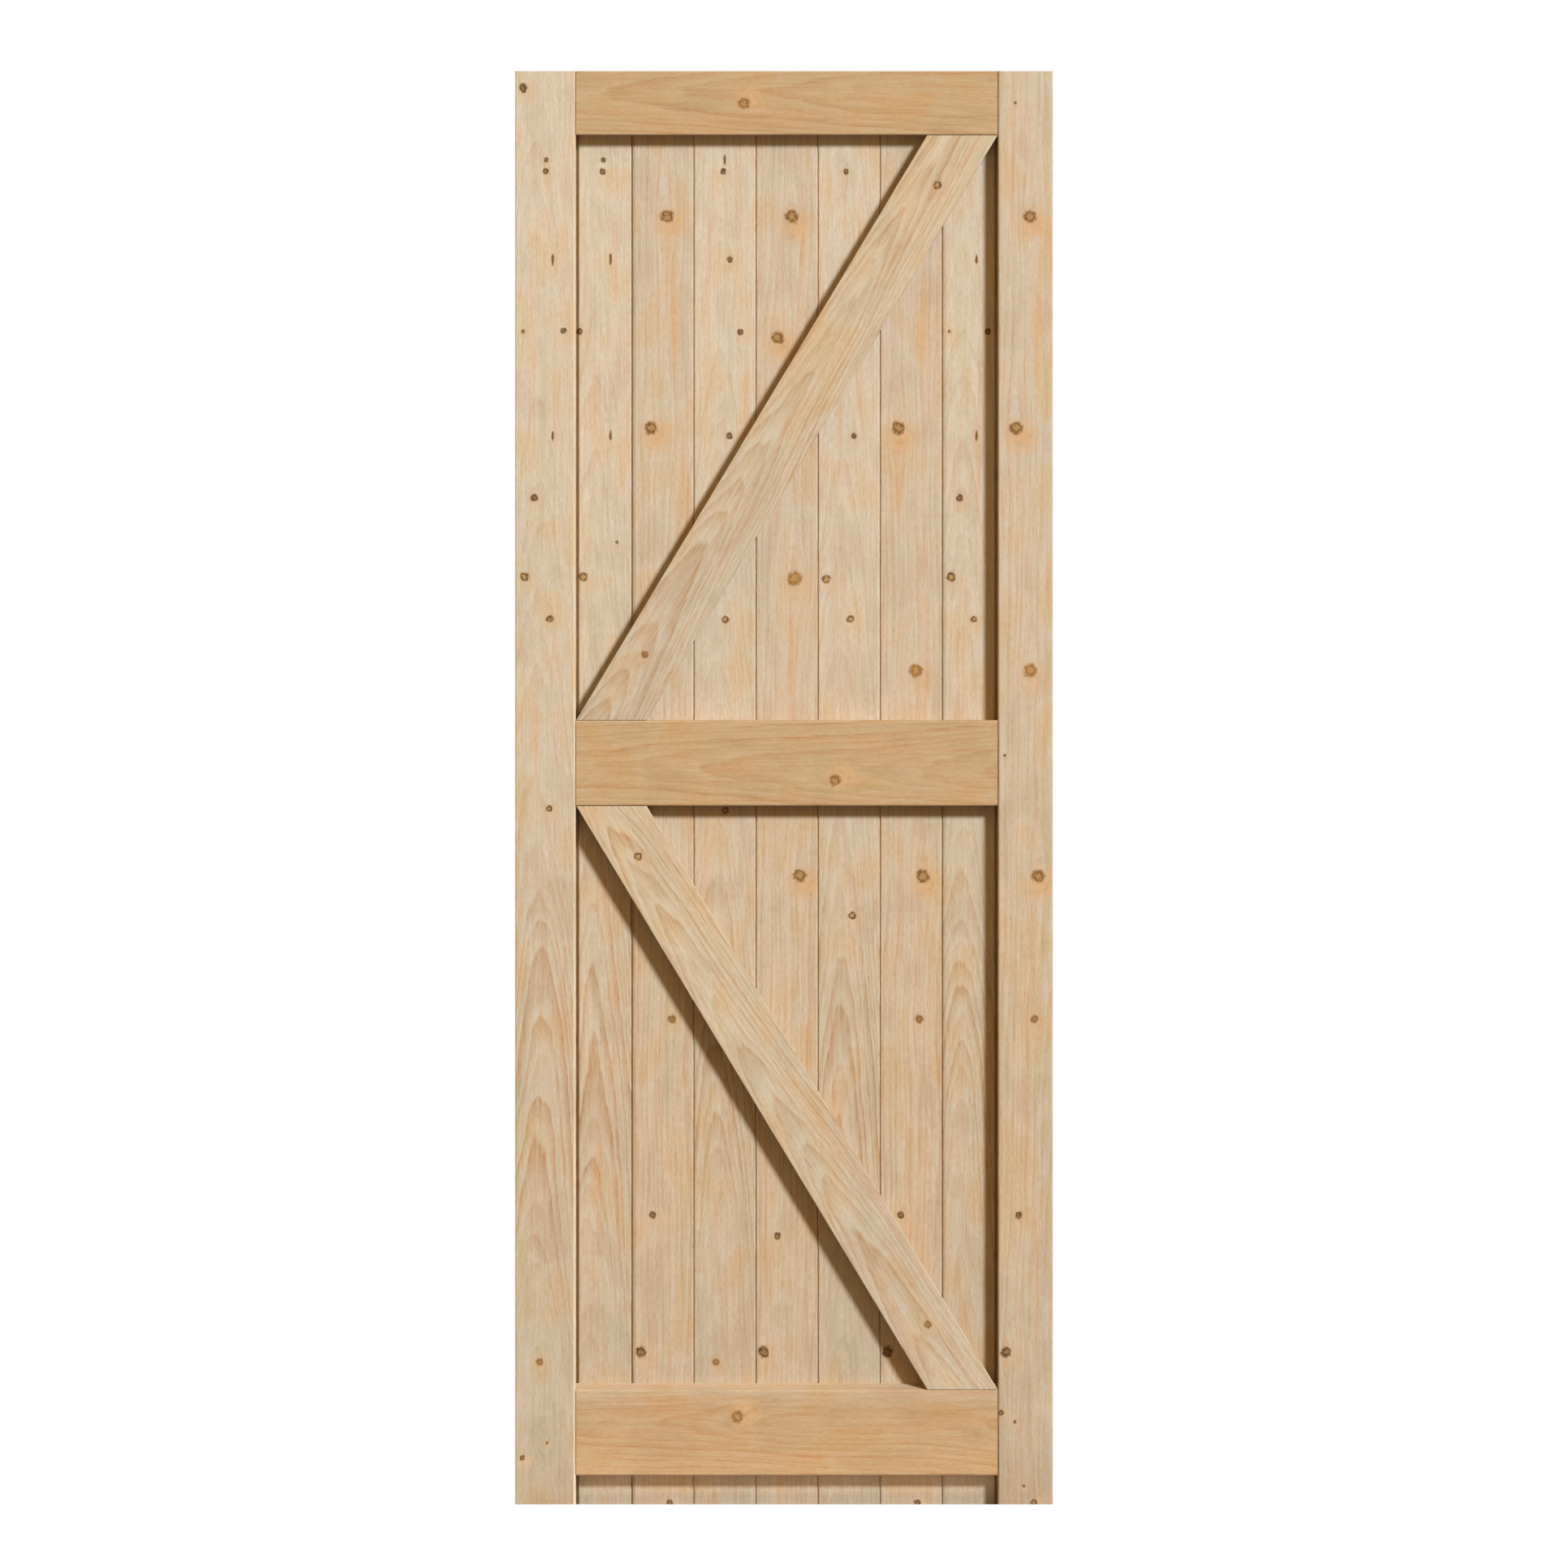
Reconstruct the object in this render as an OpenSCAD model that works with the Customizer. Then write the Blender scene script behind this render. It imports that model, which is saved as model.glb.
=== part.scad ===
// Framed, ledged and braced barn door leaf in planed softwood.
// Two stiles and a top rail hold a panel of tongued and grooved boards. The thinner middle and
// bottom rails and the two braces stand in front of the boards, flush with the framed face, and
// the boards run down behind them to the foot.
// Millimetres. The origin is the middle of the foot. Seen from the framed face, +X is to the
// right, +Y points away through the leaf and +Z is up.

/* [Leaf] */
// Width of the leaf
leaf_w = 762; // [640:1:1000]
// Height of the leaf
leaf_h = 2032; // [1800:1:2400]

/* [Frame] */
// Width of the left stile
left_stile_w = 86; // [70:1:120]
// Width of the right stile
right_stile_w = 78; // [70:1:120]
// Height of the top rail
top_rail_h = 91; // [75:1:150]
// Height of the middle and bottom rails
rail_h = 122; // [90:1:200]
// Underside of the middle rail above the foot
middle_rail_z = 990; // [700:1:1250]
// Underside of the bottom rail above the foot
bottom_rail_z = 41; // [10:1:150]
// Thickness of the middle rail, the bottom rail and the braces
rail_t = 27; // [22:0.5:40]
// Width of each brace
brace_w = 86; // [60:1:110]
// Radius of the stiles' long edges beside the panel, on the framed face
stile_arris_r = 3.5; // [1:0.5:6]
// Radius of the rails' long edges beside the panel, on the framed face
rail_arris_r = 3; // [1:0.5:6]
// Radius of the braces' long edges, on the framed face
brace_arris_r = 1.5; // [0.5:0.5:6]
// Radius of the other long edges of the stiles and the top rail
edge_r = 1.5; // [0.5:0.5:4]
// Rise of the bottom rail's weathered top edge, from the framed face back to the boards
weather_rise = 9; // [2:0.5:15]

/* [Boarding] */
// Cover width of a full board
board_w = 88; // [65:1:140]
// Thickness of the boards
board_t = 16; // [13:0.5:22]
// How far the boards lie below the outer face of the frame
board_setback = 1; // [0:0.5:4]
// Thickness of the tongues
tongue_t = 5; // [3:0.5:6]
// Length of the tongues
tongue_l = 7; // [4:0.5:10]
// Width of the small bevel on each board edge, on the framed face
inner_bevel = 1.5; // [0.5:0.5:3]
// Width of the V-joint bevel on each board edge, on the outer face
outer_bevel = 3; // [1:0.5:4]

/* [Joinery] */
// Thickness of the tenons
tenon_t = 13; // [8:0.5:16]
// Shoulder above and below a tenon
tenon_shoulder = 12; // [8:1:20]
// Height of the haunch at the top rail's tenons
haunch_h = 30; // [15:1:40]
// Length of the haunch into the stile
haunch_l = 15; // [8:1:20]
// Thickness of a wedge at its driven end
wedge_t = 5; // [3:0.5:7]
// Thickness of a wedge at its tip
wedge_tip = 1; // [0.5:0.1:2]
// Length of a wedge
wedge_l = 48; // [30:1:50]

/* [Nails] */
// Diameter of a nail's shank
nail_d = 2.6; // [2:0.1:3.5]
// Diameter of a nail's head
nail_head_d = 4.6; // [4:0.1:6]
// Thickness of a nail's head
nail_head_t = 1.2; // [0.8:0.1:2]
// Length of a nail's point
nail_point_l = 4; // [2:0.5:6]
// How far a nail's head is punched below the board
nail_set = 0.6; // [0.2:0.1:2]
// Wood left between a nail's point and the framed face
nail_cover = 5; // [3:0.5:8]
// Distance of a nail from the joint line beside it
nail_inset = 20; // [16:1:30]
// Distance of a nail from the rail's upper or lower edge
nail_edge = 32; // [20:1:45]
// Shortest distance along X from a brace nail to the end of the brace's centre line
nail_end = 10; // [5:1:30]

/* [Clearances] */
// Gap on each side of a tenon, tongue or brace
joint_gap = 0.1; // [0.05:0.05:0.3]
// Empty depth left at the end of a tongue
tongue_play = 1.5; // [0.5:0.5:3]
// Gap between the shoulders of neighbouring boards
board_gap = 0.6; // [0.2:0.1:2]
// Gap between the outer boards and the stiles
edge_gap = 3.5; // [1:0.5:6]
// Gap round a nail
nail_gap = 0.05; // [0.02:0.01:0.1]

/* [Hidden] */
// Facets of a round edge, and of a nail
arris_steps = 4;
$fn = 32;
// Overshoot of a cut past the face that it starts from
over = 1;

// Places through the thickness
leaf_t = rail_t + board_t + board_setback;
frame_y = -leaf_t / 2;
rail_back_y = frame_y + rail_t;
board_back_y = rail_back_y + board_t;
tongue_y = (rail_back_y + board_back_y) / 2;

// The opening inside the frame, and the heights of the rails
open_x0 = -leaf_w / 2 + left_stile_w;
open_x1 = leaf_w / 2 - right_stile_w;
open_w = open_x1 - open_x0;
open_mid = (open_x0 + open_x1) / 2;
top_rail_z = leaf_h - top_rail_h;
middle_rail_top = middle_rail_z + rail_h;
bottom_rail_top = bottom_rail_z + rail_h;

// Grooves that take the tongues
groove_t = tongue_t + 2 * joint_gap;
groove_l = tongue_l + tongue_play;

// Tenons stand at the back of the thin rails, bare-faced, and the top rail's line up with them
tenon_y = rail_back_y - tenon_t;
function rail_tenon(z) = [z + tenon_shoulder, z + rail_h - tenon_shoulder];
bottom_tenon = rail_tenon(bottom_rail_z);
middle_tenon = rail_tenon(middle_rail_z);
top_tenon = [top_rail_z + tenon_shoulder, leaf_h - haunch_h];

// Full boards between two outer ones, which are ripped to between half and a whole width
full_boards = floor(open_w / board_w) - 1;
board_count = full_boards + 2;
outer_board_w = (open_w - full_boards * board_w) / 2;

// Joint line i, counted from the left stile
function joint_x(i) =
    i == 0 ? open_x0
    : i == board_count ? open_x1
    : open_x0 + outer_board_w + (i - 1) * board_w;

// Sideways run of a brace's centre line in a panel of height h: the brace's acute corners then
// meet the corners of the panel
function brace_run(h) =
    let (w = open_w - 2 * joint_gap)
    h * (w * h - brace_w * sqrt(w * w + h * h - brace_w * brace_w)) / (h * h - brace_w * brace_w);

// Nails as [x, z]: two to a board in each rail, and two to a board along each brace
nail_l = board_t + rail_t - nail_set - nail_cover;
function rail_nails(z) = [
    for (i = [1 : board_count], side = [0, 1])
        [
            side == 0 ? joint_x(i - 1) + nail_inset : joint_x(i) - nail_inset,
            side == 0 ? z + nail_edge : z + rail_h - nail_edge
        ]
];
// rise is 1 for a brace that climbs to the right and -1 for one that falls
function brace_nails(z0, z1, rise) =
    let (run = brace_run(z1 - z0), slope = rise * (z1 - z0) / run)
    [
        for (i = [1 : board_count], x = [joint_x(i - 1) + nail_inset, joint_x(i) - nail_inset])
            if (abs(x - open_mid) < run / 2 - nail_end)
                [x, (z0 + z1) / 2 + slope * (x - open_mid)]
    ];
middle_nails = rail_nails(middle_rail_z);
bottom_nails = rail_nails(bottom_rail_z);
upper_nails = brace_nails(middle_rail_top, top_rail_z, 1);
lower_nails = brace_nails(bottom_rail_top, middle_rail_z, -1);
all_nails = concat(middle_nails, bottom_nails, upper_nails, lower_nails);

stile_colour = "#DCC6A4";
rail_colour = "#D1AC76";
brace_colour = "#D6BD9A";
board_colour = "#DEC7A5";
wedge_colour = "#C79F68";
nail_colour = "#8C8F92";

board_names = [for (i = [1 : board_count]) str("board_", i)];

// Points of a quarter-round corner about centre c, from angle a, or c alone where r is 0
function corner(c, a, r) =
    r == 0 ? [c] : [
        for (k = [0 : arris_steps])
            c + r * [cos(a + 90 * k / arris_steps), sin(a + 90 * k / arris_steps)]
    ];

// Cross-section of a framing bar from corner low to corner high, with the edge radii in turn from
// the low corner: first the two edges on the framed face, then the two behind them
module bar_section(low, high, radii) {
    r = radii;
    polygon(concat(
        corner([low[0] + r[0], low[1] + r[0]], 180, r[0]),
        corner([high[0] - r[1], low[1] + r[1]], 270, r[1]),
        corner([high[0] - r[2], high[1] - r[2]], 0, r[2]),
        corner([low[0] + r[3], high[1] - r[3]], 90, r[3])
    ));
}

// One wedge, thick end at x = 0, standing on z = 0, with its length along +X
module wedge() {
    rotate([90, 0, 0])
        linear_extrude(tenon_t)
            polygon([[0, 0], [wedge_l, 0], [wedge_l, wedge_tip], [0, wedge_t]]);
}

// The pair of wedges at the outer end of a tenon that spans z = tenon[0] to tenon[1]
module wedge_pair(tenon) {
    translate([0, rail_back_y, tenon[1]]) wedge();
    translate([0, rail_back_y, tenon[0]]) mirror([0, 0, 1]) wedge();
}

// Draws its children for the left stile, whose outer edge is x = 0, or for the right one mirrored
module at_stile(left) {
    if (left) translate([-leaf_w / 2, 0, 0]) children();
    else translate([leaf_w / 2, 0, 0]) mirror([1, 0, 0]) children();
}

// Slot through a stile for a tenon, flared at the outer edge for its wedges
module mortise(w, tenon) {
    translate([-over, tenon_y - joint_gap, tenon[0] - joint_gap])
        cube([w + 2 * over, tenon_t + 2 * joint_gap, tenon[1] - tenon[0] + 2 * joint_gap]);
    wedge_pair(tenon);
}

// A stile w wide, from its outer edge at x = 0 to the panel
module stile(w) {
    difference() {
        linear_extrude(leaf_h)
            bar_section([0, frame_y], [w, -frame_y], [edge_r, stile_arris_r, edge_r, edge_r]);
        translate([w - groove_l, tongue_y - groove_t / 2, -over])
            cube([groove_l + over, groove_t, top_rail_z + groove_l + over]);
        for (tenon = [bottom_tenon, middle_tenon, top_tenon]) mortise(w, tenon);
        translate([w - haunch_l - joint_gap, tenon_y - joint_gap, top_tenon[1] - joint_gap])
            cube([haunch_l + joint_gap + over, tenon_t + 2 * joint_gap, haunch_h + joint_gap + over]);
    }
}

// Carries its children, drawn with z first and then y, from one stile's inner edge to the other's
module between_stiles() {
    translate([open_mid, 0, 0])
        rotate([0, -90, 0])
            linear_extrude(open_w, center = true) children();
}

// Tenons at both ends of a rail, reaching reach past the shoulders on either side
module tenon_bar(tenon, left_reach, right_reach) {
    translate([open_x0 - left_reach, tenon_y, tenon[0]])
        cube([open_w + left_reach + right_reach, tenon_t, tenon[1] - tenon[0]]);
}

module top_rail() {
    color(rail_colour)
        difference() {
            union() {
                between_stiles()
                    bar_section(
                        [top_rail_z, frame_y], [leaf_h, -frame_y],
                        [rail_arris_r, edge_r, edge_r, edge_r]
                    );
                tenon_bar(top_tenon, left_stile_w, right_stile_w);
                tenon_bar([top_tenon[1], leaf_h], haunch_l, haunch_l);
            }
            translate([open_x0 - over, tongue_y - groove_t / 2, top_rail_z - over])
                cube([open_w + 2 * over, groove_t, groove_l + over]);
        }
}

// The slope on the bottom rail that sheds water, behind its eased edge
module weathering() {
    z = bottom_rail_top;
    y = frame_y + rail_arris_r;
    root_z = z - rail_arris_r;
    between_stiles()
        polygon([[root_z, y], [z, y], [z + weather_rise, rail_back_y], [root_z, rail_back_y]]);
}

// A thin rail with its underside at height z, and its children as part of it
module thin_rail(z, tenon, places) {
    color(rail_colour)
        difference() {
            union() {
                between_stiles()
                    bar_section(
                        [z, frame_y], [z + rail_h, rail_back_y],
                        [rail_arris_r, rail_arris_r, 0, 0]
                    );
                tenon_bar(tenon, left_stile_w, right_stile_w);
                children();
            }
            nail_holes(places);
        }
}

// A brace that fills the panel from z0 to z1, corner to corner, and is scribed to its children
module brace(z0, z1, rise, places) {
    h = z1 - z0;
    tilt = rise * atan2(brace_run(h), h);
    color(brace_colour)
        difference() {
            intersection() {
                translate([open_mid, 0, (z0 + z1) / 2])
                    rotate([0, tilt, 0])
                        linear_extrude(2 * h, center = true)
                            bar_section(
                                [-brace_w / 2, frame_y], [brace_w / 2, rail_back_y],
                                [brace_arris_r, brace_arris_r, 0, 0]
                            );
                translate([-leaf_w, frame_y - over, z0])
                    cube([2 * leaf_w, rail_t + 2 * over, h]);
            }
            children();
            nail_holes(places);
        }
}

// Points down one edge of a board, from the framed face to the outer one. The shoulder is at x,
// inward is the direction of the board's middle, and the tongue or groove of half thickness half
// ends at reach
function board_edge(x, inward, reach, half) = [
    [x + inward * inner_bevel, rail_back_y],
    [x, rail_back_y + inner_bevel],
    [x, tongue_y - half],
    [reach, tongue_y - half],
    [reach, tongue_y + half],
    [x, tongue_y + half],
    [x, board_back_y - outer_bevel],
    [x + inward * outer_bevel, board_back_y]
];
function reversed(list) = [for (k = [len(list) - 1 : -1 : 0]) list[k]];

// Cross-section of board i. Each board has a groove on its left and a tongue on its right, but the
// first has a tongue on both sides, for the grooves in the stiles
module board_section(i) {
    first = i == 1;
    last = i == board_count;
    left = first ? open_x0 + edge_gap : joint_x(i - 1) + board_gap / 2;
    right = last ? open_x1 - edge_gap : joint_x(i) - board_gap / 2;
    left_reach = first ? open_x0 - tongue_l : left + groove_l;
    right_reach = joint_x(i) + tongue_l + (last ? 0 : board_gap / 2);
    left_half = (first ? tongue_t : groove_t) / 2;
    polygon(concat(
        board_edge(left, 1, left_reach, left_half),
        reversed(board_edge(right, -1, right_reach, tongue_t / 2))
    ));
}

// The wood cut away either side of the tongue along the boards' top ends
module top_rebates() {
    for (y = [rail_back_y - over, tongue_y + tongue_t / 2])
        translate([-leaf_w, y, top_rail_z])
            cube([2 * leaf_w, (board_t - tongue_t) / 2 + over, tongue_l + over]);
}

module board(i) {
    own_nails = [for (n = all_nails) if (n[0] > joint_x(i - 1) && n[0] < joint_x(i)) n];
    color(board_colour)
        difference() {
            linear_extrude(top_rail_z + tongue_l) board_section(i);
            top_rebates();
            nail_holes(own_nails);
        }
}

// Wedges at both ends of one rail's tenons
module rail_wedges(tenon) {
    color(wedge_colour)
        for (left = [true, false]) at_stile(left) wedge_pair(tenon);
}

// A nail driven in from the outer face: head at z = 0, point along +Z, larger all round by grow
module nail(grow) {
    shank_l = nail_l - nail_point_l;
    translate([0, 0, -grow]) cylinder(h = nail_head_t + 2 * grow, d = nail_head_d + 2 * grow);
    cylinder(h = shank_l, d = nail_d + 2 * grow);
    translate([0, 0, shank_l])
        cylinder(h = nail_point_l + grow, d1 = nail_d + 2 * grow, d2 = nail_d / 4 + 2 * grow);
}

// Draws its children at each nail's place, with +Z turned to run into the wood
module at_nails(places) {
    for (place = places)
        translate([place[0], board_back_y - nail_set, place[1]]) rotate([90, 0, 0]) children();
}

module nails(places) {
    color(nail_colour) at_nails(places) nail(0);
}

// What a nail takes out of the wood, with the mouth above its punched head
module nail_holes(places) {
    at_nails(places) {
        nail(nail_gap);
        translate([0, 0, -nail_set - over]) cylinder(h = nail_set + over, d = nail_head_d + 2 * nail_gap);
    }
}

module left_stile() { color(stile_colour) at_stile(true) stile(left_stile_w); }
module right_stile() { color(stile_colour) at_stile(false) stile(right_stile_w); }
module middle_rail() { thin_rail(middle_rail_z, middle_tenon, middle_nails); }
module bottom_rail() { thin_rail(bottom_rail_z, bottom_tenon, bottom_nails) weathering(); }
module upper_brace() { brace(middle_rail_top, top_rail_z, 1, upper_nails); }
module lower_brace() { brace(bottom_rail_top, middle_rail_z, -1, lower_nails) weathering(); }

left_stile();
right_stile();
top_rail();
middle_rail();
bottom_rail();
upper_brace();
lower_brace();
for (i = [1 : board_count])
    board(i);
rail_wedges(top_tenon);  // top_rail_wedges
rail_wedges(middle_tenon);  // middle_rail_wedges
rail_wedges(bottom_tenon);  // bottom_rail_wedges
nails(middle_nails);  // middle_rail_nails
nails(bottom_nails);  // bottom_rail_nails
nails(upper_nails);  // upper_brace_nails
nails(lower_nails);  // lower_brace_nails
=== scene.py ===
# %% [markdown]
# # A framed, ledged and braced barn door leaf
#
# This door leaf is joinery in plain planed pine: two stiles, three rails, two slanting braces and
# seven tongued and grooved boards. Its pieces come ready made at their real size, so nothing is
# modelled twice here. What is left to make is what the eye sees on wood: growth rings, fibres,
# knots and the light that rakes over the frame. We load the pieces and keep their box.

# %% Load the leaf
import math

import bpy
import numpy as np
from mathutils import Euler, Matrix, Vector


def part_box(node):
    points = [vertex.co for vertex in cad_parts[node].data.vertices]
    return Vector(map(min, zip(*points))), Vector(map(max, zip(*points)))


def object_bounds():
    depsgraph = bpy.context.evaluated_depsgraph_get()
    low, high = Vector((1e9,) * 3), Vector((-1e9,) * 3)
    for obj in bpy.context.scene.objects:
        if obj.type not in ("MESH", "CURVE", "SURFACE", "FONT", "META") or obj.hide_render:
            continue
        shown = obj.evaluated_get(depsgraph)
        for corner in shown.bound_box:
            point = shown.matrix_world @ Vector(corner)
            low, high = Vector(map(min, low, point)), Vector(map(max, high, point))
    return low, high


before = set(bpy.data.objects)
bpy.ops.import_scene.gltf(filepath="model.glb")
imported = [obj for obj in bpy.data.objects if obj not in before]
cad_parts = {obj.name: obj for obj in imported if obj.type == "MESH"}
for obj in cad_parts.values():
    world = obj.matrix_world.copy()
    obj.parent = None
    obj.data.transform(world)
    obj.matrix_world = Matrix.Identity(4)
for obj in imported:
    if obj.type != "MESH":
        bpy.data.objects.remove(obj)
cad_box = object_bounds()
LEAF_FOOT, LEAF_TOP = cad_box[0].z, cad_box[1].z
print("leaf of", len(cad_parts), "pieces,", round(LEAF_TOP - LEAF_FOOT, 3), "m high")

# %% [markdown]
# ## Colours and nodes
#
# A colour picker shows sRGB values, but light is added up in linear ones, so each colour below is
# an ordinary hex code that one function turns to linear. Materials are trees of nodes. They could
# be wired by hand in the editor; here one small function adds a node, sets it and links it, so
# that a pattern reads as a few lines of arithmetic.

# %% One function for colours, one for nodes


def linear(code):
    """An sRGB hex code as linear red, green, blue and alpha.

    A channel v from 0 to 1 is v / 12.92 up to 0.04045, and above it ((v + 0.055) / 1.055) ^ 2.4."""
    channels = np.array([int(code[i:i + 2], 16) for i in (1, 3, 5)]) / 255
    bent = np.where(channels <= 0.04045, channels / 12.92, ((channels + 0.055) / 1.055) ** 2.4)
    return (*bent.tolist(), 1.0)


def add(tree, kind, inputs=None, stops=(), **settings):
    """Adds a node of a kind, gives it its settings and fills its inputs.

    An input is named by its label, or by its place among the inputs in use. It takes a value, a
    socket, or a node, which stands for that node's first output in use. stops are a ramp's
    places and hex codes."""
    node = tree.nodes.new(kind)
    for name, value in settings.items():
        setattr(node, name, value)
    for extra in stops[2:]:
        node.color_ramp.elements.new(extra[0])
    for place, (position, code) in enumerate(stops):
        node.color_ramp.elements[place].position = position
        node.color_ramp.elements[place].color = linear(code)
    in_use = [socket for socket in node.inputs if socket.enabled]
    by_name = {socket.name: socket for socket in reversed(in_use)}
    for key, value in (inputs or {}).items():
        socket = in_use[key] if isinstance(key, int) else by_name[key]
        if isinstance(value, bpy.types.Node):
            value = next(output for output in value.outputs if output.enabled)
        if isinstance(value, bpy.types.NodeSocket):
            tree.links.new(value, socket)
        else:
            socket.default_value = value
    return node


print("white in linear light:", linear("#ffffff"))

# %% [markdown]
# ## Trees, groups and pieces
#
# Three small helpers keep the later cells short: one starts an empty material, one starts a node
# group, which is a tree that can be used many times, and one dresses pieces in a finished material.

# %% Starting a material or a group, and dressing a piece


def blank(name):
    """A new material and its tree, with no nodes in it yet."""
    material = bpy.data.materials.new(name)
    material.use_nodes = True
    material.node_tree.nodes.clear()
    return material, material.node_tree


def group(name, takes, gives):
    """A new node group, with the sockets that feed it and the sockets that it fills."""
    tree = bpy.data.node_groups.new(name, "ShaderNodeTree")
    for way, sockets in (("INPUT", takes), ("OUTPUT", gives)):
        for label, kind in sockets.items():
            tree.interface.new_socket(label, in_out=way, socket_type="NodeSocket" + kind)
    return tree, add(tree, "NodeGroupInput").outputs


def dress(pieces, material):
    """Gives each piece this material alone."""
    for piece in pieces:
        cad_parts[piece].data.materials.clear()
        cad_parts[piece].data.materials.append(material)


print("pieces to dress:", len(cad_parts))

# %% [markdown]
# ## Streaks
#
# Almost everything on wood is drawn out along the grain: fibres, resin, the strips that dried
# pinker or yellower. So one pattern serves for all of them, a noise whose coordinates are divided by
# the width and the length of its patches in millimetres. A wave texture would be quicker but
# repeats; noise never does.

# %% Noise drawn out along the grain


def streaks(tree, grain, width, length, seed, detail):
    """Noise in patches of a width and a length in mm, along a grain that runs up Z."""
    drawn_out = add(tree, "ShaderNodeVectorMath", {
        0: grain, 1: (1 / width, 1 / width, 1 / length)}, operation="MULTIPLY")
    return add(tree, "ShaderNodeTexNoise", {
        "Vector": drawn_out, "W": seed, "Scale": 1.0, "Detail": detail}, noise_dimensions="4D")


print("streaks are noise divided by their size")

# %% [markdown]
# ## How a tree puts lines on a board
#
# A trunk grows a cone of wood each year, pale and soft in spring, darker and harder in late
# summer. Sawing cuts straight through those nested cones, and where the cut runs nearly parallel
# to one, its edge shows as a flame. A stretched noise texture gives stripes but never flames, so
# we measure what the tree measured: the distance of each point from the heart of the trunk. A
# slow noise lets the trunk sway, and the ring number is that distance over the width of a ring.
# Because the field is solid, the lines run over an edge and come out right on the end grain.

# %% Years as a node group
SWAYS = (             # how far the heart wanders, over what width and length, all in mm
    (14.0, 160.0, 460.0, 1.0),
    (2.6, 17.0, 75.0, 2.0),
)
SWAY_SEED = 9.0       # keeps the noise of one sway apart from the next

rings, given = group(
    "growth_rings",
    {"Grain": "Vector", "Seed": "Float", "Heart": "Vector", "Taper": "Float", "Ring": "Float"},
    {"Latewood": "Float"},
)
point = given["Grain"]
for number, (amount, width, length, detail) in enumerate(SWAYS):
    moved = add(rings, "ShaderNodeMath", {0: given["Seed"], 1: SWAY_SEED * number}, operation="ADD")
    noise = streaks(rings, given["Grain"], width, length, moved.outputs[0], detail)
    sway = add(rings, "ShaderNodeVectorMath", {
        0: noise.outputs["Color"], 1: (2 * amount, 2 * amount, 0), 2: (-amount, -amount, 0)},
        operation="MULTIPLY_ADD")
    point = add(rings, "ShaderNodeVectorMath", {0: point, 1: sway}, operation="ADD")
from_heart = add(rings, "ShaderNodeVectorMath", {0: point, 1: given["Heart"]}, operation="SUBTRACT")
across_only = add(rings, "ShaderNodeVectorMath", {0: from_heart, 1: (1, 1, 0)}, operation="MULTIPLY")
radius = add(rings, "ShaderNodeVectorMath", {0: across_only}, operation="LENGTH")
along = add(rings, "ShaderNodeSeparateXYZ", {"Vector": given["Grain"]}).outputs["Z"]
coned = add(rings, "ShaderNodeMath", {0: along, 1: given["Taper"], 2: radius}, operation="MULTIPLY_ADD")
years = add(rings, "ShaderNodeMath", {0: coned, 1: given["Ring"]}, operation="DIVIDE")
print("years are counted by", len(rings.nodes), "nodes")

# %% [markdown]
# ## Latewood
#
# Within a year the wood darkens slowly and ends abruptly where the next spring starts, so a ramp over
# the fraction of the year draws a line that is soft on one side and sharp on the other. Good and bad
# summers make rings of unequal width and strength: a noise along the count shifts the rings, and a
# random number for each year says how dark it gets.

# %% Latewood of each year
RING_DRIFT = 1.4      # rings by which wide and narrow years shift the count
DRIFT_YEARS = 3.0     # years over which they change
FAINTEST_YEAR = 0.25  # latewood of the coldest summer, as a share of the warmest
SEASONS = [           # how dark the wood of a year is, from its spring to its autumn
    (0.0, "#000000"), (0.15, "#000000"), (0.7, "#d8d8d8"), (0.88, "#ffffff"), (1.0, "#000000")]

slow_years = add(rings, "ShaderNodeMath", {0: years, 1: DRIFT_YEARS}, operation="DIVIDE")
drift = add(rings, "ShaderNodeTexNoise", {"W": slow_years, "Scale": 1.0, "Detail": 0.0},
            noise_dimensions="1D")
uneven = add(rings, "ShaderNodeMath", {0: drift, 1: RING_DRIFT, 2: years}, operation="MULTIPLY_ADD")
year = add(rings, "ShaderNodeMath", {0: uneven}, operation="FLOOR")
season = add(rings, "ShaderNodeMath", {0: uneven}, operation="FRACT")
darkening = add(rings, "ShaderNodeValToRGB", {"Fac": season}, stops=SEASONS)
summer = add(rings, "ShaderNodeTexWhiteNoise", {"W": year}, noise_dimensions="1D")
strength = add(rings, "ShaderNodeMapRange", {
    "Value": summer.outputs["Value"], "To Min": FAINTEST_YEAR})
latewood = add(rings, "ShaderNodeMath", {0: darkening, 1: strength}, operation="MULTIPLY")
add(rings, "NodeGroupOutput", {"Latewood": latewood})
print("growth rings:", len(rings.nodes), "nodes")

# %% [markdown]
# ## Knots
#
# A knot is the stub of a branch. The fibres of the trunk flow round it, and it dries darker than
# they do. A dead branch leaves a small dark knot, a living one a larger orange-brown knot with a
# resin-stained halo. Each knot of this leaf is placed in millimetres from the middle of the foot.
# One node group handles one knot and is chained: it passes on how far away the nearest knot is so
# far, in which direction, what kind it is, and how far the fibres are pushed aside.

# %% The nearest knot as a node group
NO_KNOT = -1.0  # the heart of a mere streak

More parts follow.
